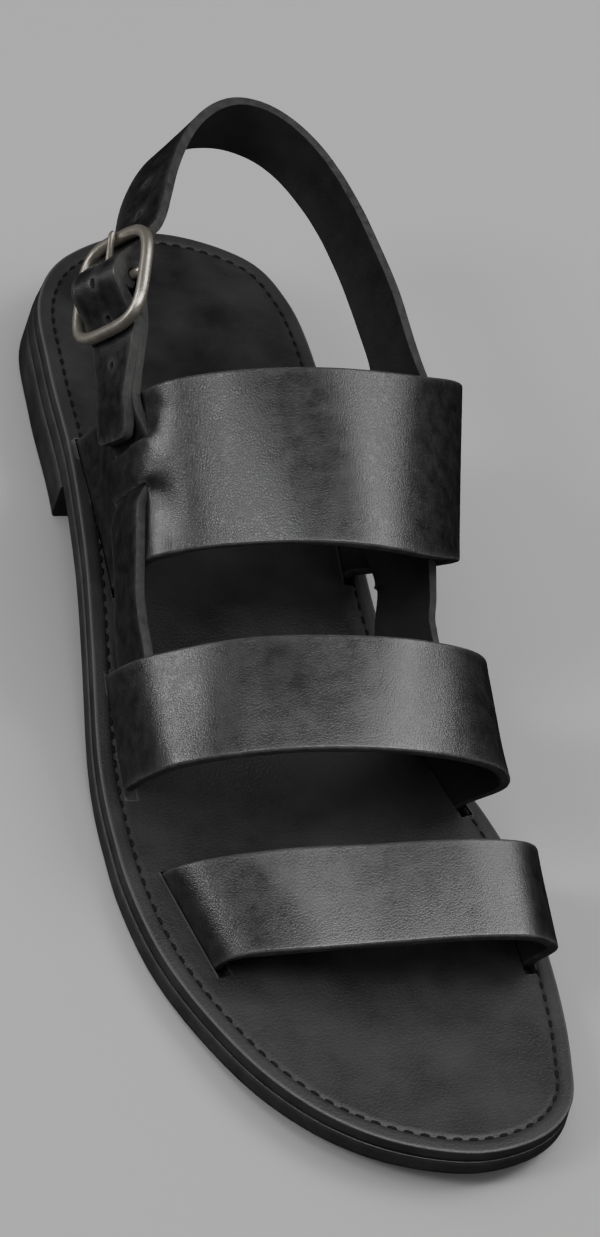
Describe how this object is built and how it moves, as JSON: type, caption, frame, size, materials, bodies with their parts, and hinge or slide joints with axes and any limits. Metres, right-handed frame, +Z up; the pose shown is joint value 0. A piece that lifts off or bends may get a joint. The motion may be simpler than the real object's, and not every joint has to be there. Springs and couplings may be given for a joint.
{
  "type": "strappy sandal",
  "caption": "Flat open leather sandal for the right foot, with bands over the toes and instep, a slingback and a side buckle.",
  "frame": {"origin": "middle of the sandal's box, on the floor", "axes": "+Z up, +Y from the toe to the heel, +X to the big-toe side"},
  "size_m": [0.1004, 0.2858, 0.0837],
  "materials": {
    "sole": "smooth dark satin edge, waxed",
    "footbed": "matt, lightly mottled",
    "strap_leather": "semi-gloss with fine grain",
    "buckle_metal": "aged, dull polish"
  },
  "bodies": {
    "root": {"outsole": "sole", "heel": "sole", "footbed": "footbed", "toe_strap": "strap_leather", "upper": "strap_leather", "buckle_frame": "buckle_metal", "buckle_prong": "buckle_metal"}
  },
  "joints": []
}
